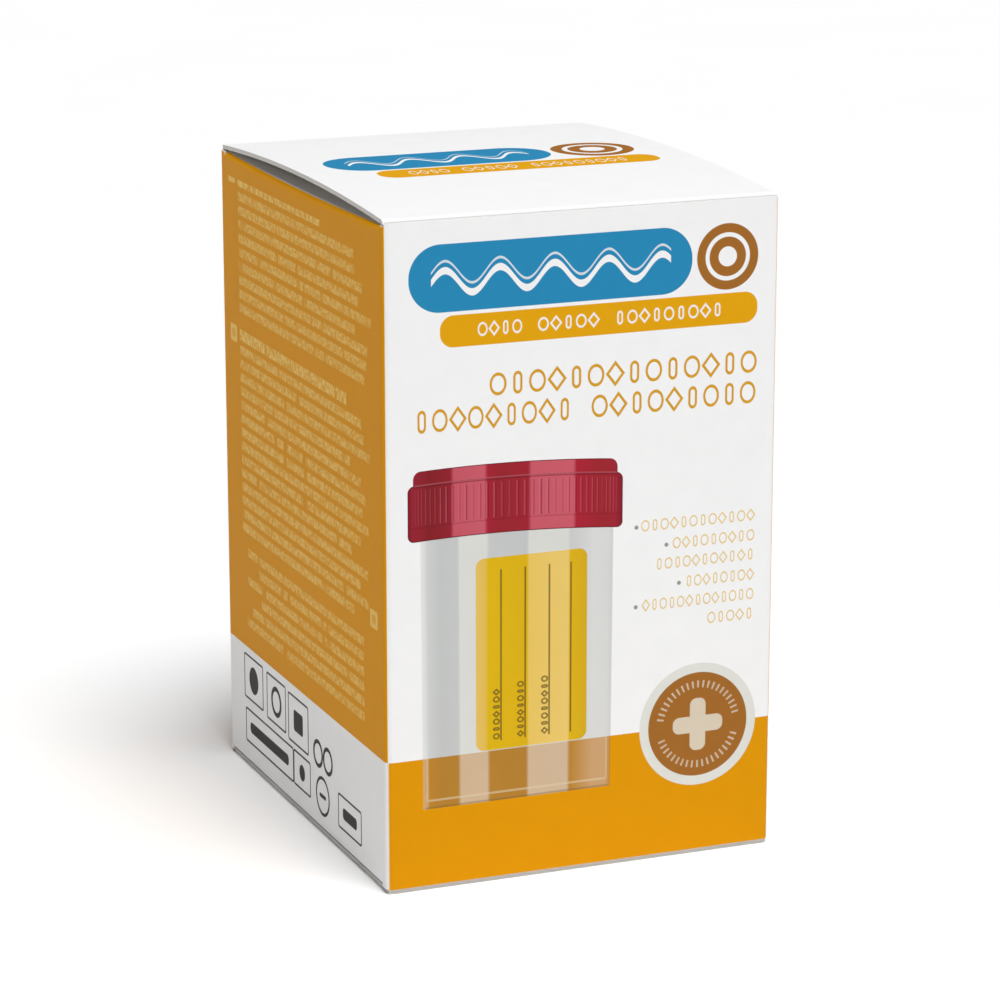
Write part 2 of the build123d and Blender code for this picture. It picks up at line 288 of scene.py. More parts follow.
class Artwork:
    """Flat print on one panel, drawn ink over ink at (across, up) in millimetres."""

    SOFT = 0.03

    def __init__(self, finish, across, up, ground):
        self.finish = finish
        self.across = across
        self.up = up
        self.place = finish.point(across, up)
        self.colour = ground

    def edge(self, distance, limit, soft=SOFT):
        """1 where a distance is under its limit, with an edge that is 2 soft wide."""
        slope = -0.5 / soft
        return self.finish.math("MULTIPLY_ADD", distance, slope, 0.5 - limit * slope, clamp=True)

    def block(self, left, right, low, high, radius=0.2):
        """Rounded rectangle: the length of what sticks out of the inner rectangle."""
        vector = self.finish.vector
        centre = ((left + right) / 2, (low + high) / 2, 0)
        half = ((right - left) / 2 - radius, (high - low) / 2 - radius, 0)
        away = vector("ABSOLUTE", vector("SUBTRACT", self.place, centre))
        beyond = vector("MAXIMUM", vector("SUBTRACT", away, half), (0, 0, 0))
        return self.edge(vector("LENGTH", beyond, output="Value"), radius)

    def distance_to(self, x, z):
        return self.finish.vector("DISTANCE", self.place, (x, z, 0), output="Value")

    def disc(self, x, z, radius):
        return self.edge(self.distance_to(x, z), radius)

    def ring(self, x, z, radius, width):
        away = (self.distance_to(x, z) - radius).math("ABSOLUTE")
        return self.edge(away, width / 2)

    def frame(self, left, right, low, high, width, radius=0.5):
        """Outline of a rounded rectangle."""
        outer = self.block(left, right, low, high, radius)
        inner = self.block(left + width, right - width, low + width, high - width, radius / 2)
        return outer - inner

    def wave(self, left, right, level, rise, length, width):
        """Sine line of a given width, cut to a stretch."""
        turn = (self.across - left) * (2 * math.pi / length)
        away = (self.up - level - turn.math("SINE") * rise).math("ABSOLUTE")
        return self.edge(away, width / 2) * self.block(left, right, level - 2 * rise, level + 2 * rise)

    def greeked_rows(self, left, right, top, rows, pitch, height, seed, ragged=0.16, from_right=False):
        """Rows of letter-like strokes with word gaps and one ragged end, which say nothing.

        A stroke is where a fine noise along the row is high, and a word where a coarse one is low.
        """
        finish = self.finish
        place = (top - self.up) / pitch
        row = place.math("FLOOR")
        share = place - row - 0.5
        bar = self.edge(share.math("ABSOLUTE") * pitch, height / 2)
        along = right - self.across if from_right else self.across - left
        fine = finish.point(along * 1.15, row * 5.3 + share * 1.5, seed)
        strokes = self.edge(0.5 - finish.noise(fine, 1.7, 3.0, 0.75), 0.0, 0.035)
        words = finish.noise(finish.point(along / 2.2, row * 7.31 + seed), 1.0, 1.0)
        letters = self.edge(0.62 - words, 0.28, 0.05)
        chance = finish.node("ShaderNodeTexWhiteNoise", {"noise_dimensions": "1D"},
                             {"W": row + seed * 0.37})
        length = (right - left) * (1 - Field(finish, chance.outputs["Value"]) * ragged)
        inside = self.block(left, right, top - rows * pitch, top, 0.05)
        return bar * letters * (strokes * 0.75 + 0.25) * inside * self.edge(along - length, 0.0)

    def mark_row(self, left, right, low, high, count, width, seed):
        """Row of outlined rings, capsules and diamonds of one height, in a mixed order.

        In a cell with u and v from its middle, in half heights, the outlines are where these are
        zero: the length of (u, v) less 1; the length of (u, v - 0.45) less 0.55, with v - 0.45 not
        under zero; and 0.7 of (u + v - 1.15).
        """
        finish = self.finish
        pitch, half = (right - left) / count, (high - low) / 2
        steps = (self.across - left) / pitch
        cell = steps.math("FLOOR")
        squeeze = min(1.0, pitch * 0.43 / half)
        u = ((steps - cell - 0.5) * (pitch / half / squeeze)).math("ABSOLUTE")
        v = ((self.up - (low + high) / 2) / half).math("ABSOLUTE")
        ring = finish.vector("LENGTH", finish.point(u, v), output="Value") - 1
        above = finish.math("MAXIMUM", v - 0.45, 0.0)
        capsule = finish.vector("LENGTH", finish.point(u, above), output="Value") - 0.55
        diamond = (u + v - 1.15) * 0.7
        order = (cell * 0.618 + seed).math("FRACT")
        away = ring + (order > 0.36) * (capsule - ring)
        away = away + (order > 0.72) * (diamond - away)
        outline = self.edge(((away + width / half / 2).math("ABSOLUTE")) * half, width / 2)
        return outline * self.block(left, right, low - width, high + width, 0.05)

    def lay(self, mask, colour):
        """Print a colour where the mask is 1."""
        self.colour = self.finish.mix(mask, self.colour, colour)


# Finishes

def coated_board(finish, colour):
    """Printed and varnished side of the board: satin, with a faint mottle and fibre relief."""
    mottle = finish.noise(finish.place, 0.35, 3.0)
    fibre = finish.noise(finish.place, 6.0, 4.0, 0.7)
    tone = finish.vector("SCALE", colour, Scale=1.02 - mottle * 0.05)
    finish.set(Base_Color=tone, Roughness=0.46 + fibre * 0.16, Specular_IOR_Level=0.06)
    finish.bump(fibre * 0.7 + mottle * 0.3, 0.012)
    return finish.material


def shared(make):
    """The material of a finish that several pieces share, made once under the function's name."""
    return bpy.data.materials.get(make.__name__) or make()


def raw_board():
    """Unprinted inside of the board: greyish pulp with fibres and a few dark flecks."""
    finish = Finish("raw_board")
    stretched = finish.vector("MULTIPLY", finish.place, (1.0, 1.0, 0.35))
    fibre = finish.noise(stretched, 3.2, 5.0, 0.72)
    flecks = finish.noise(finish.place, 2.1, 1.0)
    colour = finish.mix(fibre, RAW_BOARD, RAW_FIBRE)
    speck = finish.math("MULTIPLY_ADD", flecks, 30.0, -23.4, clamp=True)
    finish.set(Base_Color=finish.mix(speck * 0.35, colour, ink(120, 112, 102)),
               Roughness=0.82 + fibre * 0.1)
    finish.bump(fibre, 0.03)
    return finish.material


def cut_board():
    """Cut edge of the board, where its layers show as fine lines."""
    finish = Finish("cut_board")
    layers = finish.noise(finish.place, 9.0, 3.0, 0.8)
    finish.set(Base_Color=finish.mix(layers, CUT_EDGE, RAW_FIBRE), Roughness=0.9)
    finish.bump(layers, 0.03)
    return finish.material


def header_plate(art, left, right, low, high):
    """Generic header: a blue band with two waves, a ringed disc and an ochre strip of marks."""
    height = high - low
    strip_top = low + height * 0.31
    band_low = strip_top + height * 0.035
    radius = (high - band_low) / 2
    middle = (high + band_low) / 2
    disc_x = right - radius
    band_right = disc_x - radius - height * 0.05
    white = paint("board_white")
    art.lay(art.block(left, band_right, band_low, high, radius * 0.98), paint("band_blue"))
    start, end, rise, length = left + 2.6, band_right - 2.6, radius * 0.34, 6.4
    art.lay(art.wave(start, end, middle + radius * 0.16, rise, length, 0.28) * 0.7, white)
    art.lay(art.wave(start, end, middle - radius * 0.12, rise, length, 0.8), white)
    art.lay(art.disc(disc_x, middle, radius), paint("disc_brown"))
    art.lay(art.ring(disc_x, middle, radius * 0.66, radius * 0.13), white)
    art.lay(art.disc(disc_x, middle, radius * 0.3), white)
    strip = strip_top - low
    art.lay(art.block(left + 3.6, right, low, strip_top, strip * 0.45), paint("strip_ochre"))
    mark_low, mark_high = low + strip * 0.28, strip_top - strip * 0.28
    span = right - left
    for start, end, count in ((0.19, 0.32, 4), (0.36, 0.54, 5), (0.58, 0.9, 9)):
        marks = art.mark_row(left + span * start, left + span * end, mark_low, mark_high, count,
                             0.24, start)
        art.lay(marks * 0.9, white)


def pictured_jar(art):
    """Picture of the container: a clear film of light and dark bands, the label and the cap."""
    finish = art.finish
    middle, foot, shoulder = 15.6, 9.5, 41.5
    half = 11.3 + (art.up - foot) * (0.2 / (shoulder - foot))
    turn = (art.across - middle) / half
    share = turn * 0.5 + 0.5
    body = art.edge(turn.math("ABSOLUTE") * 11.4, 11.4) * art.block(0, 47, foot, shoulder, 0.9)
    shade, gleam = ink(64, 84, 78), ink(196, 198, 188)
    soft_gleam = ink(172, 174, 168)
    bands = [(0.0, gleam, 0.35), (0.025, soft_gleam, 0.42), (0.035, shade, 0.34), (0.1, shade, 0.42),
             (0.185, shade, 0.4), (0.2, gleam, 0.56), (0.34, gleam, 0.6), (0.355, shade, 0.4),
             (0.545, shade, 0.42), (0.56, gleam, 0.6), (0.765, gleam, 0.62), (0.78, shade, 0.36),
             (0.9, soft_gleam, 0.42), (0.975, soft_gleam, 0.45), (1.0, shade, 0.3)]
    film = finish.ramp(share, [(place, colour) for place, colour, _ in bands])
    cover = finish.ramp(share, [(place, (much, much, much, 1.0)) for place, _, much in bands])
    art.lay(body * cover, film)
    pale = ink(222, 206, 170)
    art.lay(art.block(middle - 10.7, middle + 10.7, foot + 0.85, foot + 1.1, 0.1) * 0.5, pale)
    for side in (-1, 1):
        x = middle + side * 10.8
        art.lay(art.block(x - 0.08, x + 0.08, foot + 0.9, FOOT_BAND, 0.05) * 0.45, pale)
    art.lay(art.block(middle - 11.1, middle + 11.1, foot + 0.02, foot + 0.24, 0.1) * 0.45,
            ink(120, 98, 54))
    pictured_label(art, 10.6, 23.95, 15.5, 37.7)
    pictured_cap(art, 15.45)


def pictured_label(art, left, right, low, high):
    """Picture of the label: yellow bands of light, writing lines and columns of marks."""
    finish = art.finish
    label = art.block(left, right, low, high, 1.0)
    share = (art.across - left) / (right - left)
    bands = [(0.0, (228, 192, 100)), (0.09, (224, 186, 84)), (0.105, (221, 180, 22)),
             (0.46, (219, 176, 22)), (0.475, (232, 196, 96)), (0.83, (234, 200, 112)),
             (0.845, (221, 178, 24)), (1.0, (212, 170, 30))]
    art.lay(label, finish.ramp(share, [(place, ink(*colour)) for place, colour in bands]))
    line_ink = ink(104, 84, 34)
    for x in (13.6, 16.5, 19.4, 22.0):
        art.lay(art.block(x - 0.1, x + 0.1, low + 1.0, high - 1.4, 0.05) * 0.85, line_ink)
    upward = Artwork(finish, art.up, 0 - art.across, None)
    for x, length, count in ((13.05, 6.0, 7), (15.95, 6.6, 8), (18.85, 6.9, 8)):
        marks = upward.mark_row(low + 1.1, low + 1.1 + length, -x - 0.42, -x + 0.42, count, 0.2, x)
        art.lay(marks * 0.85, line_ink)


def pictured_cap(art, middle):
    """Picture of the cap, seen from a little below.

    Its edges rise by a parabola to the middle and lean down a little to the right.
    """
    finish = art.finish
    turn = (art.across - middle) / 12.75
    share = turn * 0.5 + 0.5
    upright = art.up
    art.up = upright - (1 - turn * turn) * 0.48 + (art.across - middle) * 0.026
    art.place = finish.point(art.across, art.up)
    lights = [(0.0, (124, 28, 42)), (0.02, (150, 36, 52)), (0.07, (140, 36, 44)),
              (0.1, (132, 34, 40)), (0.195, (146, 36, 48)), (0.21, (196, 86, 100)),
              (0.35, (200, 92, 106)), (0.365, (166, 36, 54)), (0.42, (152, 38, 48)),
              (0.555, (160, 38, 52)), (0.57, (200, 90, 104)), (0.765, (202, 92, 106)),
              (0.78, (172, 36, 56)), (0.9, (156, 40, 48)), (0.965, (160, 38, 54)),
              (1.0, (126, 30, 44))]
    red = finish.ramp(share, [(place, ink(*colour)) for place, colour in lights])
    dark = ink(98, 24, 34)
    crown = art.block(middle - 12.15, middle + 12.1, 45.0, 47.85, 0.9)
    skirt = art.block(middle - 12.8, middle + 12.75, 39.95, 46.3, 0.75)
    art.lay(crown, dark)
    lit_crown = art.edge(art.up, 47.76) * art.block(middle - 12.07, middle + 12.02, 40, 48, 0.9)
    art.lay(crown * lit_crown, red)
    art.lay(skirt, dark)
    art.lay(art.block(middle - 12.72, middle + 12.67, 40.05, 46.22, 0.7), red)
    art.lay(art.block(middle - 12.0, middle + 12.0, 46.0, 46.16, 0.05) * 0.5, dark)
    art.lay(art.block(middle - 12.0, middle + 12.0, 46.2, 46.34, 0.05) * 0.3, ink(222, 130, 142))
    art.lay(art.block(middle - 12.6, middle + 12.6, 41.45, 41.57, 0.05) * 0.3, dark)
    around = turn.math("ARCSINE")
    groove = finish.math("MULTIPLY_ADD", (around * 88.0).math("SINE"), 3.2, -1.9, clamp=True)
    gleam = finish.math("MULTIPLY_ADD", (around * 88.0 + 1.2).math("SINE"), 3.2, -2.1, clamp=True)
    uneven = finish.noise(finish.point(around * 6.0, 3.0), 1.0, 2.0)
    strength = finish.math("MULTIPLY_ADD", uneven, 4.0, -1.35, clamp=True)
    ribs = art.block(middle - 12.2, middle + 12.2, 41.75, 45.75, 0.4) * strength
    art.lay(ribs * groove * 0.62, ink(116, 26, 38))
    art.lay(ribs * gleam * 0.3, ink(226, 128, 142))
    art.up = upright
    art.place = finish.point(art.across, upright)


def seal(art, x, z):
    """Round brown seal with a rounded plus and two arcs of fine ticks."""
    art.lay(art.disc(x, z, 7.25), ink(222, 223, 216))
    art.lay(art.disc(x, z, 6.15), paint("disc_brown"))
    finish = art.finish
    angle = finish.math("ARCTAN2", art.up - z, art.across - x) * (46 / (2 * math.pi))
    tick = art.edge((angle.math("FRACT") - 0.5).math("ABSOLUTE"), 0.17, 0.06)
    arcs = art.edge(1.0 - (art.up - z + 0.4).math("ABSOLUTE"), 0.0, 0.1)
    art.lay(art.ring(x, z, 4.75, 0.85) * tick * arcs * 0.75, paint("cream"))
    art.lay(art.block(x - 3.1, x + 3.1, z - 0.98, z + 0.98, 0.8), paint("cream"))
    art.lay(art.block(x - 0.98, x + 0.98, z - 3.1, z + 3.1, 0.8), paint("cream"))


def front_print():
    """Front panel: header plate, headings, the pictured container, a list and a seal."""
    finish = Finish("front_print")
    x, _, z = finish.parts(finish.place)
    art = Artwork(finish, x + sleeve_high.x * PER_METRE, z, paint("board_white"))
    art.lay(art.edge(art.up, FOOT_BAND), paint("ochre"))
    header_plate(art, 2.9, 44.4, 61.7, 73.1)
    for left, right, low, count, seed in ((12.1, 44.6, 55.95, 14, 0.1), (3.3, 22.2, 52.45, 9, 0.5),
                                          (24.2, 44.5, 52.45, 9, 0.3)):
        art.lay(art.mark_row(left, right, low, low + 2.55, count, 0.35, seed), paint("heading"))
    rows = [(39.5, 29.9, 30.4, 12), (37.15, 33.6, 34.3, 9), (34.9, None, 32.2, 11),
            (32.55, 35.2, 35.9, 8), (30.25, 29.9, 30.6, 13), (27.95, None, 38.7, 5)]
    for number, (level, bullet, left, count) in enumerate(rows):
        marks = art.mark_row(left, 44.6, level - 0.66, level + 0.66, count, 0.17, 0.21 * number)
        art.lay(marks, paint("list_ink"))
        if bullet:
            art.lay(art.disc(bullet, level - 0.1, 0.24), ink(150, 148, 140))
    pictured_jar(art)
    seal(art, 37.75, 15.5)
    # Painted highlight: a pale cream line along the fold at the panel's left edge, where the rounded
    # fold would catch the light
    art.lay(art.edge(art.across, 0.32) * 0.55, ink(255, 246, 224))
    return coated_board(finish, art.colour)


def side_print(name, drawn):
    """Side panel: ochre above and white below, with small print and symbols if drawn."""
    finish = Finish(name)
    _, y, z = finish.parts(finish.place)
    art = Artwork(finish, sleeve_high.y * PER_METRE - y, z, paint("ochre"))
    art.lay(art.edge(art.up, FOOT_BAND), paint("board_white"))
    if drawn:
        small_print(art)
        symbols(art)
    return coated_board(finish, art.colour)


def small_print(art):
    """Three blocks of greeked small print, with title rows over the first two and a tag square by each
    block.
    """
    colour = paint("small_print")
    blocks = [(6.6, 52.5, 71.7, 9, 1.68, 3.0, False), (6.5, 51.5, 53.1, 14, 1.68, 11.0, False),
              (7.0, 49.0, 28.4, 6, 1.76, 23.0, True)]
    for left, right, top, rows, pitch, seed, from_right in blocks:
        text = art.greeked_rows(left, right, top, rows, pitch, 1.06, seed, from_right=from_right)
        art.lay(text * 0.62, colour)
    for left, right, top, seed in ((6.6, 36.0, 73.7, 5.0), (6.5, 44.0, 55.1, 7.0)):
        title = art.greeked_rows(left, right, top, 1, 2.0, 1.35, seed, ragged=0.0)
        art.lay(title * 0.8, colour)
    for x, z in ((4.35, 73.2), (4.2, 53.9), (52.3, 31.0)):
        art.lay(art.block(x - 1.2, x + 1.2, z - 1.05, z + 1.05, 0.3) * 0.7, colour)
        art.lay(art.block(x - 0.6, x + 0.6, z - 0.5, z + 0.5, 0.3) * 0.6, paint("ochre"))


def symbols(art):
    """Plain outlined boxes with simple shapes on the lower band."""
    boxes = [(6.0, 13.2, 8.8, 14.5), (14.5, 21.6, 8.5, 14.4), (22.4, 29.7, 8.2, 14.2),
             (6.3, 24.2, 3.2, 7.6), (24.2, 30.3, 3.2, 7.6), (39.8, 47.7, 2.9, 7.1)]
    shapes = [art.frame(*box, 0.26, 0.4) for box in boxes]
    shapes += [art.disc(9.6, 11.65, 1.7), art.disc(27.25, 5.4, 1.0)]
    shapes += [art.ring(*ring) for ring in ((18.05, 11.45, 1.6, 0.6), (34.5, 4.8, 2.2, 0.4),
                                            (33.0, 9.6, 1.45, 0.5), (36.4, 9.6, 1.45, 0.5))]
    shapes += [art.block(*bar) for bar in ((24.4, 27.7, 9.9, 12.5, 0.4), (8.0, 22.4, 4.7, 6.1, 0.6),
                                           (41.4, 46.1, 4.3, 5.7, 0.5),
                                           (33.4, 35.6, 4.55, 5.05, 0.2))]
    for shape in shapes:
        art.lay(shape, paint("outline"))


def back_print():
    """Back panel: plain white above the foot band, which is a hair lower than the front's."""
    finish = Finish("back_print")
    x, _, z = finish.parts(finish.place)
    art = Artwork(finish, x, z, paint("board_white"))
    art.lay(art.edge(art.up, FOOT_BAND - 0.1), paint("ochre"))
    return coated_board(finish, art.colour)


def flap_print():
    """Dust flaps: white, but for the ochre that comes over the top ones' folds from the sides."""
    finish = Finish("flap_print")
    x, _, z = finish.parts(finish.place)
    art = Artwork(finish, x, z, paint("board_white"))
    bleed = (sleeve_high.x - 0.45 * MM) * PER_METRE
    art.lay((x.math("ABSOLUTE") > bleed) * (z > CARTON_HEIGHT * PER_METRE / 2), paint("ochre"))
    return coated_board(finish, art.colour)


def lid_print():
    """Top closure: white, with the same header plate as the front."""
    finish = Finish("lid_print")
    x, y, _ = finish.parts(finish.place)
    half_width, half_depth = sleeve_high.x * PER_METRE, sleeve_high.y * PER_METRE
    art = Artwork(finish, x + half_width, y + half_depth, paint("board_white"))
    header_plate(art, 4.4, 42.4, 20.5, 35.5)
    return coated_board(finish, art.colour)


def base_print():
    """Base closure: plain ochre that ends past the fold of the tuck flap, on white."""
    finish = Finish("base_print")
    _, y, z = finish.parts(finish.place)
    art = Artwork(finish, y, z, paint("board_white"))
    art.lay(art.edge(art.up, 2.4), paint("ochre"))
    return coated_board(finish, art.colour)


def jar_plastic():
    """Natural polypropylene: milky, see-through, with a slightly uneven moulded skin."""
    finish = Finish("jar_plastic")
    flow = finish.noise(finish.vector("MULTIPLY", finish.place, (1.0, 1.0, 0.2)), 0.25, 3.0)
    skin = finish.noise(finish.place, 1.4, 2.0)
    finish.set(Base_Color=finish.mix(flow, paint("plastic"), ink(208, 212, 214)),
               Roughness=0.3 + skin * 0.12, Alpha=0.52 + flow * 0.16,
               Specular_IOR_Level=0.45)
    finish.bump(skin, 0.03)
    return finish.material


def cap_plastic():
    """Crimson moulded cap: gloss with a fine orange-peel skin."""
    finish = Finish("cap_plastic")
    skin = finish.noise(finish.place, 2.4, 2.0)
    tint = finish.noise(finish.place, 0.12, 2.0)
    finish.set(Base_Color=finish.mix(tint * 0.5, paint("crimson"), ink(150, 26, 44)),
               Roughness=0.24 + skin * 0.12, Subsurface_Weight=0.05)
    finish.bump(skin, 0.02)
    return finish.material


def label_film():
    """Yellow film label with writing lines that follow the jar round."""
    finish = Finish("label_film")
    x, y, z = finish.parts(finish.place)
    turn = finish.math("ARCTAN2", x, 0 - y)
    along = turn * (jar_high.x * PER_METRE)
    art = Artwork(finish, along, z, paint("label_yellow"))
    dark, foot = ink(70, 56, 20), 13.0
    for centre in (-3.0, 1.6, 6.2, 10.8):
        art.lay(art.block(centre - 0.12, centre + 0.12, foot, 44.6, 0.05), dark)
    for centre in (-4.6, 0.0, 4.6):
        art.lay(art.block(centre - 0.5, centre + 0.5, foot, 22.5, 0.4), dark)
    grain = finish.noise(finish.place, 1.1, 3.0)
    finish.set(Base_Color=art.colour, Roughness=0.3 + grain * 0.15)
    finish.bump(grain, 0.015)
    return finish.material


def spoon_plastic():
    """White moulded spoon with a faint flow pattern."""
    finish = Finish("spoon_plastic")
    flow = finish.noise(finish.vector("MULTIPLY", finish.place, (1.0, 1.0, 0.25)), 0.6, 3.0)
    finish.set(Base_Color=finish.mix(flow, ink(236, 236, 232), ink(218, 219, 216)),
               Roughness=0.32 + flow * 0.1, Subsurface_Weight=0.1)
    finish.bump(flow, 0.02)
    return finish.material


# Board surfaces

def folded_line(corners, radius, step, arc_count=10):
    """Line through corners with rounded folds: straight runs every step, joined by arcs.

    A run goes from corner to corner, cut back by radius times the tangent of half the turn, and an
    arc turns about a point one radius to the side. Returns points and their left-hand normals.
    """
    corners = np.array(corners, float)
    runs = np.diff(corners, axis=0)
    ways = runs / np.linalg.norm(runs, axis=1)[:, None]
    points, normals, start = [], [], corners[0]
    for place, way in enumerate(ways):
        left = np.array([-way[1], way[0]])
        last = place == len(ways) - 1
        turn = 0.0
        if not last:
            following = ways[place + 1]
            turn = math.atan2(way[0] * following[1] - way[1] * following[0], way @ following)
        cut = radius * math.tan(abs(turn) / 2)
        end = corners[place + 1] - way * cut
        count = max(2, round(np.linalg.norm(end - start) / step) + 1)
        share = np.linspace(0, 1, count)[:, None]
        points.append(start + (end - start) * share)
        normals.append(np.tile(left, (count, 1)))
        if last:
            break
        side = math.copysign(1.0, turn)
        centre = end + left * side * radius
        angles = np.linspace(0, turn, arc_count + 1)[1:-1]
        cosine, sine = np.cos(angles), np.sin(angles)
        spun = np.stack([left[0] * cosine - left[1] * sine, left[0] * sine + left[1] * cosine], 1)
        points.append(centre - spun * side * radius)
        normals.append(spun)
        start = corners[place + 1] + ways[place + 1] * cut
    return np.concatenate(points), np.concatenate(normals)


def grid_faces(index):
    """Quads of a two-way grid of vertex numbers."""
    return np.stack([index[:-1, :-1], index[1:, :-1], index[1:, 1:], index[:-1, 1:]], -1).reshape(-1, 4)


def mesh_piece(name, vertices, faces, kinds, materials, sharp_degrees=35):
    """A smooth-shaded mesh object whose faces have material numbers, with outward normals."""
    mesh = bpy.data.meshes.new(name)
    mesh.from_pydata(vertices.tolist(), [], faces.tolist())
    for material in materials:
        mesh.materials.append(material)
    mesh.polygons.foreach_set("material_index", np.asarray(kinds, np.int32))
    solid = bmesh.new()
    solid.from_mesh(mesh)
    bmesh.ops.remove_doubles(solid, verts=solid.verts, dist=1e-7)
    bmesh.ops.recalc_face_normals(solid, faces=solid.faces)
    solid.to_mesh(mesh)
    solid.free()
    mesh.polygons.foreach_set("use_smooth", np.ones(len(mesh.polygons), bool))
    mesh.set_sharp_from_angle(angle=math.radians(sharp_degrees))
    piece = bpy.data.objects.new(name, mesh)
    bpy.context.scene.collection.objects.link(piece)
    return piece


def board_sheet(name, line, low, high, rows, place, printed, board):
    """Closed sheet of board on a folded line, with a material on its printed side.

    With s along the line and t from 0 to 1 across it, a point is line(s) plus or minus half the
    board along the normal, at low(s) + (high(s) - low(s)) t across. place puts it in the frame.
    Faces: 0 printed side, 1 inside, 2 cut edges.
    """
    points, normals = line
    low = np.broadcast_to(low, len(points))
    high = np.broadcast_to(high, len(points))
    across = low[:, None] + (high - low)[:, None] * np.linspace(0, 1, rows)
    sides = [place(points + normals * board / 2 * sign, across) for sign in (1, -1)]
    vertices = np.concatenate([side.reshape(-1, 3) for side in sides])
    count = len(points) * rows
    outer = np.arange(count).reshape(len(points), rows)
    inner = outer + count
    strips = [outer, inner]
    for edge in (outer[0], outer[-1], outer[:, 0], outer[:, -1]):
        strips.append(np.stack([edge, edge + count]))
    quads = [grid_faces(strip) for strip in strips]
    kinds = [np.full(len(quad), min(number, 2)) for number, quad in enumerate(quads)]
    materials = [printed, shared(raw_board), shared(cut_board)]
    return mesh_piece(name, vertices, np.concatenate(quads), np.concatenate(kinds), materials)


def spread(flat, across):
    """Both coordinates of a line's points, repeated across the sheet."""
    return [np.broadcast_to(flat[:, place, None], across.shape) for place in (0, 1)]


def standing(flat, across):
    """Place of a wall: its line is the plan and across is the height."""
    return np.stack([*spread(flat, across), across], -1)


def lying(flat, across):
    """Place of a closure: its line is in the YZ plane and across runs along X."""
    return np.stack([across, *spread(flat, across)], -1)


def length_property(name, description, length):
    """A length that a user can change, in metres."""
    return bpy.props.FloatProperty(name=name, description=description, default=length, unit="LENGTH",
                                   precision=5)


class CartonSizes(bpy.types.PropertyGroup):
    """Sizes of the board and its folds."""

    board: length_property("Board", "Thickness of the board", 0.5 * MM)
    corner_radius: length_property("Corner radius", "Outside radius of the upright folds", 0.8 * MM)
    crease_radius: length_property("Crease radius", "Outside radius of the dust flaps' folds", 0.7 * MM)
    crease_sag: length_property("Crease sag", "Dip of the top dust flaps' folds at their middle",
                                0.4 * MM)
    glue_flap_width: length_property("Glue flap width", "Width of the seam flap inside the back panel",
                                     11 * MM)
    seam_inset: length_property("Seam inset", "Distance of the back panel's glued edge from the corner",
                                0.3 * MM)
    slit_length: length_property("Slit length", "Length of the slits that lock a tuck flap", 4 * MM)
    dust_flap_length: length_property("Dust flap length",
                                      "Length of a dust flap from its fold to its tip", 19 * MM)
    lid_arch: length_property("Lid arch", "Rise of the top closure at its middle",
                              lid_high.z - CARTON_HEIGHT)
    tuck_length: length_property("Tuck length", "Length of a tuck flap", 13 * MM)


def walls_of(sizes):
    """Half width, half depth and fold radius of the panels' centre lines."""
    half = sizes.board / 2
    return sleeve_high.x - half, sleeve_high.y - half, sizes.corner_radius - half


def flap_level_of(sizes):
    """Height of the top dust flaps' outer side, just under the closure."""
    return CARTON_HEIGHT - sizes.board - FLAP_GAP


def eighth(centre, radius, start, end, count=6):
    """Part of a fold: points at radius about a centre, from one angle to another in degrees."""
    angles = np.radians(np.linspace(start, end, count))
    out = np.stack([np.cos(angles), np.sin(angles)], 1)
    return np.array(centre) + out * radius, out


def half_turned_wall(sizes, side):
    """Line of the front (side -1) panel, or of the back (side 1) panel up to its glued edge.

    The front ends in half a fold at each side, and the back lies over the glue flap at the right.
    """
    half_x, half_y, radius = walls_of(sizes)
    inner_x, inner_y = half_x - radius, half_y - radius
    first, first_out = eighth((-inner_x, side * inner_y), radius, 180 + side * -45, 180 + side * -90)
    last, last_out = eighth((inner_x, side * inner_y), radius, side * 90, side * 45)
    xs = np.linspace(-inner_x, inner_x, 33)[1:-1]
    if side > 0:
        last = np.array([[sleeve_high.x - sizes.seam_inset, half_y]])
        last_out = np.array([[0.0, 1.0]])
    flat = np.stack([xs, np.full(len(xs), side * half_y)], 1)
    flat_out = np.tile([0.0, side], (len(xs), 1))
    return np.concatenate([first, flat, last]), np.concatenate([first_out, flat_out, last_out])


def crease_ends(sizes):
    """Front and back end of the dust flaps' folds, along Y."""
    clear = sizes.corner_radius + CREASE_CLEAR
    return -sleeve_high.y + clear, sleeve_high.y - sizes.board - clear


def side_wall(sizes, side):
    """Line of the left (side -1) or right (side 1) panel, from front to back.

    Half a fold stands at its front. At its back the left panel has the other half of a fold, and the
    right panel goes round into the glue flap, inside the back panel.
    """
    half_x, half_y, radius = walls_of(sizes)
    inner_x, inner_y = half_x - radius, half_y - radius
    base = 180 if side < 0 else 0
    first, first_out = eighth((side * inner_x, -inner_y), radius, base - side * 45, base)
    front, back = crease_ends(sizes)
    steps = [end + way for end in (front, back, -front, -back) for way in (-HAIR, HAIR)]
    inside = np.linspace(-back, back, 33)[1:-1]
    ys = np.sort(np.concatenate([steps, inside]))
    if side < 0:
        last, last_out = eighth((side * inner_x, inner_y), radius, base, base + side * 45)
    else:
        seam_y = half_y - sizes.board
        start = seam_start(sizes)
        corners = [(half_x, start + HAIR), (half_x, seam_y),
                   (sleeve_high.x - sizes.glue_flap_width, seam_y)]
        last, last_out = folded_line(corners, radius, 1.0 * MM)
        last_out = -last_out
        ys = np.append(ys[ys < start - HAIR], start - HAIR)
    flat = np.stack([np.full(len(ys), side * half_x), ys], 1)
    flat_out = np.tile([float(side), 0.0], (len(ys), 1))
    return np.concatenate([first, flat, last]), np.concatenate([first_out, flat_out, last_out])


def seam_start(sizes):
    """Where the full height of the right panel ends and its glue flap begins, along Y."""
    return sleeve_high.y - sizes.board - sizes.corner_radius


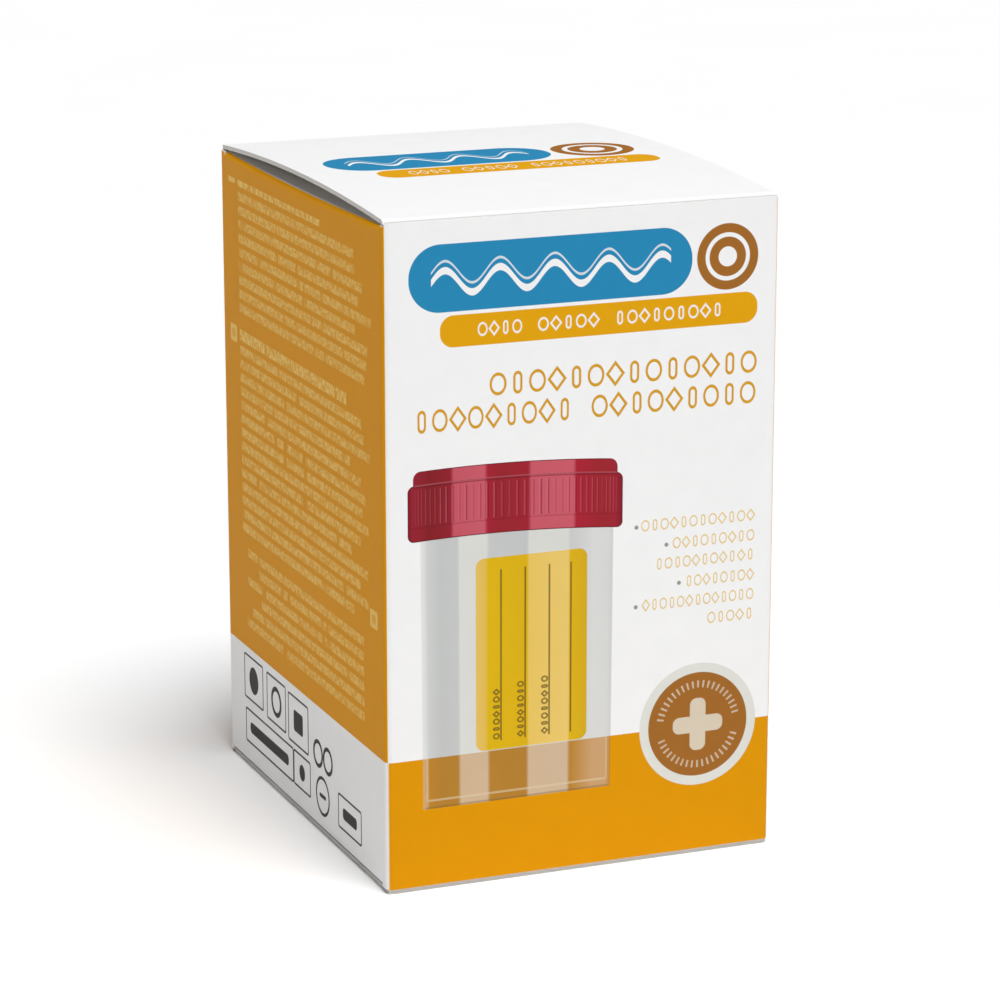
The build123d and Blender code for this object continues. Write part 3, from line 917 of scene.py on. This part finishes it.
def side_levels(sizes, line, side):
    """Lower and upper edge of a side panel at each point of its line.

    The dust flaps' folds take a strip off both edges, and the glue flap has sloping ends.
    """
    flap_level = flap_level_of(sizes)
    front, back = crease_ends(sizes)
    along = line[:, 1]
    base_fold = (along > -back) & (along < -front)
    top_fold = (along > front) & (along < back)
    low = np.where(base_fold, CARTON_HEIGHT - flap_level + BASE_STRIP, CARTON_HEIGHT - flap_level)
    high = np.where(top_fold, flap_level - TOP_STRIP, flap_level)
    if side > 0:
        run = np.clip(sleeve_high.x - line[:, 0], 0, sizes.glue_flap_width)
        slope = GLUE_SLOPE * run / sizes.glue_flap_width
        end = 2 * sizes.board + GLUE_START + slope
        glued = line[:, 1] > seam_start(sizes)
        low = np.where(glued, end, low)
        high = np.where(glued, CARTON_HEIGHT - end, high)
    return low, high


class CARTON_OT_panels(bpy.types.Operator):
    """The four panels, each with its share of the upright folds"""

    bl_idname = "carton.panels"
    bl_label = "Panels"

    def execute(self, context):
        sizes = context.scene.carton_sizes
        left, right = side_wall(sizes, -1), side_wall(sizes, 1)
        for name, printed, line, (low, high) in (
            ("front_panel", front_print(), half_turned_wall(sizes, -1), (HINGE_DROP, sleeve_high.z)),
            ("back_panel", back_print(), half_turned_wall(sizes, 1),
             (EDGE_DROP, CARTON_HEIGHT - HINGE_DROP)),
            ("left_panel", side_print("left_print", True), left, side_levels(sizes, left[0], -1)),
            ("right_panel", side_print("right_print", False), right, side_levels(sizes, right[0], 1)),
        ):
            piece = board_sheet(name, line, low, high, 24, standing, printed, sizes.board)
            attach(piece, "carton")
            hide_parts("carton_sleeve")
        return {"FINISHED"}


def closure_line(sizes, arch):
    """Line of a closure: an arc over the panel, a fold, and the leaning tuck flap."""
    hinge_y = sleeve_high.y - sizes.board / 2
    level = CARTON_HEIGHT - sizes.board / 2
    fold_y = -sleeve_high.y + sizes.board + TUCK_GAP + sizes.board / 2
    span = hinge_y - fold_y
    arm = hinge_y + sleeve_high.y - sizes.board - TUCK_GAP
    lean = math.atan(sizes.tuck_length / (2 * arm)) + TUCK_LEAN
    share = np.linspace(0, 1, 61)
    rise = max(arch, 1e-9)
    reach = (span ** 2 / 4 + rise ** 2) / (2 * rise)
    ys = hinge_y - span * share
    middle = hinge_y - span / 2
    zs = level + rise - reach + np.sqrt(reach ** 2 - (ys - middle) ** 2)
    slope_out = np.stack([ys - middle, zs - (level + rise - reach)], 1)
    slope_out /= np.linalg.norm(slope_out, axis=1)[:, None]
    tip = (fold_y + sizes.tuck_length * math.sin(lean), level - sizes.tuck_length * math.cos(lean))
    before = np.array([ys[-3], zs[-3]])
    fold, fold_out = folded_line([before, (fold_y, level), tip], TUCK_FOLD, 0.5 * MM)
    points = np.concatenate([np.stack([ys, zs], 1)[:-3], fold])
    return points, np.concatenate([slope_out[:-3], -fold_out])


def with_levels(points, normals, levels):
    """The same line with added points where its second coordinate passes each level.

    It reads the line's second half by its length, because that coordinate only falls there.
    """
    steps = np.linalg.norm(np.diff(points, axis=0), axis=1)
    length = np.concatenate([[0.0], np.cumsum(steps)])
    half = len(points) // 2
    added = np.interp(levels, points[:half:-1, 1], length[:half:-1])
    every = np.sort(np.concatenate([length, added]))
    columns = np.concatenate([points, normals], axis=1).T
    drawn = np.stack([np.interp(every, length, column) for column in columns], 1)
    return drawn[:, :2], drawn[:, 2:]


class CARTON_OT_closures(bpy.types.Operator):
    """Top and base closure panels with their tuck flaps"""

    bl_idname = "carton.closures"
    bl_label = "Closures"

    def execute(self, context):
        sizes = context.scene.carton_sizes
        panel_half = sleeve_high.x - PANEL_INSET
        tuck_half = panel_half - SHOULDER
        level = CARTON_HEIGHT - sizes.board - 0.05 * MM
        slit = level - SLIT_DROP
        edges = [slit + side * (SLIT_WIDTH / 2 + HAIR * step) for side in (-1, 1) for step in (-1, 1)]
        for name, node, arch, printed, turned in (
            ("top_closure", "top_lid", sizes.lid_arch, lid_print(), False),
            ("base_closure", "bottom_lid", 0.0, base_print(), True),
        ):
            points, normals = with_levels(*closure_line(sizes, arch), edges)
            height = points[:, 1]
            drop = np.clip(TUCK_CORNER - (height - height.min()), 0, TUCK_CORNER)
            rounding = TUCK_CORNER - np.sqrt(TUCK_CORNER ** 2 - drop ** 2)
            half = np.where(height > level, panel_half, tuck_half - rounding)
            in_slit = np.abs(height - slit) < SLIT_WIDTH / 2
            half = np.where(in_slit, tuck_half - sizes.slit_length, half)
            if turned:
                points = points * [-1, -1] + [0, CARTON_HEIGHT]
                normals = -normals
            piece = board_sheet(name, (points, normals), -half, half, 32, lying, printed, sizes.board)
            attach(piece, node)
            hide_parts(node)
        return {"FINISHED"}


class CARTON_OT_dust_flaps(bpy.types.Operator):
    """The four dust flaps with their folds"""

    bl_idname = "carton.dust_flaps"
    bl_label = "Dust flaps"

    def execute(self, context):
        sizes = context.scene.carton_sizes
        printed = flap_print()
        for name, side, top in (("dust_flap_top_left", -1, True), ("dust_flap_top_right", 1, True),
                                ("dust_flap_base_left", -1, False), ("dust_flap_base_right", 1, False)):
            piece = dust_flap(name, sizes, side, top, printed)
            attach(piece, "carton")
            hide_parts("carton_sleeve")
        return {"FINISHED"}


def dust_flap(name, sizes, side, top, printed):
    """One dust flap: a short wall run, a fold and the tapered flap, drawn for the top left.

    Across runs along Y between a front and a back edge that taper and round off at the tip.
    """
    root = -sleeve_high.x
    flap_level = flap_level_of(sizes)
    centre_x, centre_z = root + sizes.board / 2, flap_level - sizes.board / 2
    start = flap_level - (TOP_STRIP if top else BASE_STRIP)
    line, out = folded_line(
        [(centre_x, start), (centre_x, centre_z), (root + sizes.dust_flap_length, centre_z)],
        sizes.crease_radius - sizes.board / 2, 0.35 * MM)
    run = line[:, 0] - root
    crease_front, crease_back = crease_ends(sizes)
    past = np.clip(run - (sizes.dust_flap_length - FLAP_CORNER), 0, FLAP_CORNER)
    rounding = FLAP_CORNER - np.sqrt(FLAP_CORNER ** 2 - past ** 2)
    flap_front = -sleeve_high.y + sizes.board + FLAP_INSET
    taper = FLAP_TAPER * np.clip((run - TAPER_START) / (sizes.dust_flap_length - TAPER_START), 0, 1)
    on_flap = run > sizes.crease_radius + 0.05 * MM
    front = np.where(on_flap, flap_front + taper + rounding, crease_front - HAIR)
    back = np.where(on_flap, crease_back - CREASE_CLEAR - rounding, crease_back + HAIR)
    sag = sizes.crease_sag if top else 0.0
    middle, half_run = (crease_front + crease_back) / 2, (crease_back - crease_front) / 2

    def place(flat, across):
        x, z = spread(flat, across)
        grip = np.clip((z - start) / (flap_level - sizes.crease_radius - start), 0, 1)
        dip = sag * (1 - ((across - middle) / half_run) ** 2) * grip * grip * (3 - 2 * grip)
        z = z - dip
        if side > 0:
            x = -x
        if not top:
            return np.stack([x, -across, CARTON_HEIGHT - z], -1)
        return np.stack([x, across, z], -1)

    return board_sheet(name, (line, out), front, back, 40, place, printed, sizes.board)


class CARTON_OT_container(bpy.types.Operator):
    """Finishes of the jar, its label, the cap and the spoon"""

    bl_idname = "carton.container"
    bl_label = "Container"

    def execute(self, context):
        finishes = {"jar": jar_plastic, "jar_label": label_film, "screw_cap": cap_plastic,
                    "spoon": spoon_plastic}
        for node, finish in finishes.items():
            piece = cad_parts[node]
            piece.data.materials.clear()
            piece.data.materials.append(finish())
        return {"FINISHED"}


class CARTON_OT_stage(bpy.types.Operator):
    """White floor, soft light and the photograph's camera"""

    bl_idname = "carton.stage"
    bl_label = "Stage"

    def execute(self, context):
        scene = context.scene
        scene.view_settings.view_transform = "Standard"
        floor_grid()
        world_light(scene)
        key = bpy.data.objects.new("key_light", bpy.data.lights.new("key_light", "SUN"))
        key.data.energy = KEY_STRENGTH
        key.data.angle = KEY_ANGLE
        key.rotation_euler = Vector(KEY_WAY).to_track_quat("Z", "Y").to_euler()
        scene.collection.objects.link(key)
        camera = bpy.data.objects.new("camera", bpy.data.cameras.new("camera"))
        camera.data.lens = LENS_MM
        camera.data.sensor_width = 36.0
        camera.data.clip_start = 0.01
        camera.location = CAMERA_PLACE
        camera.rotation_euler = (math.radians(90 - CAMERA_DOWN), 0, math.radians(CAMERA_TURN))
        scene.collection.objects.link(camera)
        scene.camera = camera
        return {"FINISHED"}


def floor_grid():
    """Floor: a flat square grid, 8 m wide, under the base closure."""
    half, count = 4.0, 9
    side = np.linspace(-half, half, count)
    x, y = np.meshgrid(side, side, indexing="ij")
    vertices = np.stack([x, y, np.zeros_like(x)], -1).reshape(-1, 3)
    faces = grid_faces(np.arange(count * count).reshape(count, count))
    mesh = bpy.data.meshes.new("floor")
    mesh.from_pydata(vertices.tolist(), [], faces.tolist())
    floor = bpy.data.objects.new("floor", mesh)
    bpy.context.scene.collection.objects.link(floor)
    finish = Finish("floor_paint")
    cloud = finish.noise(finish.place, 0.02, 2.0)
    finish.set(Base_Color=finish.mix(cloud, ink(250, 250, 250), ink(247, 247, 247)), Roughness=0.9,
               Specular_IOR_Level=0.1)
    mesh.materials.append(finish.material)


def world_light(scene):
    """White sky: bright near the horizon and softer above."""
    world = bpy.data.worlds.new("studio")
    scene.world = world
    world.use_nodes = True
    nodes, links = world.node_tree.nodes, world.node_tree.links
    background = nodes["Background"]
    coordinate = nodes.new("ShaderNodeTexCoord")
    split = nodes.new("ShaderNodeSeparateXYZ")
    ramp = nodes.new("ShaderNodeValToRGB")
    ramp_stops(ramp.color_ramp, [(HORIZON[0], (1, 1, 1, 1)), (HORIZON[1], (SKY, SKY, SKY, 1))])
    links.new(coordinate.outputs["Generated"], split.inputs[0])
    links.new(split.outputs["Z"], ramp.inputs["Fac"])
    links.new(ramp.outputs["Color"], background.inputs["Color"])
    background.inputs["Strength"].default_value = 1.0


class CARTON_PT_panel(bpy.types.Panel):
    """Sidebar panel that lists the carton's steps and sizes"""

    bl_label = "Carton"
    bl_idname = "CARTON_PT_panel"
    bl_space_type = "VIEW_3D"
    bl_region_type = "UI"
    bl_category = "Carton"

    def draw(self, context):
        for step in STEPS:
            self.layout.operator(step.bl_idname)
        for group in (context.scene.carton_sizes, context.scene.carton_colours):
            for name in type(group).__annotations__:
                self.layout.prop(group, name)


STEPS = (
    CARTON_OT_stage,
    CARTON_OT_panels,
    CARTON_OT_closures,
    CARTON_OT_dust_flaps,
    CARTON_OT_container,
)
CLASSES = (CartonSizes, CartonColours, *STEPS, CARTON_PT_panel)


def register():
    for each in CLASSES:
        bpy.utils.register_class(each)
    bpy.types.Scene.carton_sizes = bpy.props.PointerProperty(type=CartonSizes)
    bpy.types.Scene.carton_colours = bpy.props.PointerProperty(type=CartonColours)


def unregister():
    del bpy.types.Scene.carton_colours
    del bpy.types.Scene.carton_sizes
    for each in reversed(CLASSES):
        bpy.utils.unregister_class(each)


def main():
    register()
    for step in STEPS:
        group, name = step.bl_idname.split(".")
        getattr(getattr(bpy.ops, group), name)()


if __name__ == "__main__":
    main()
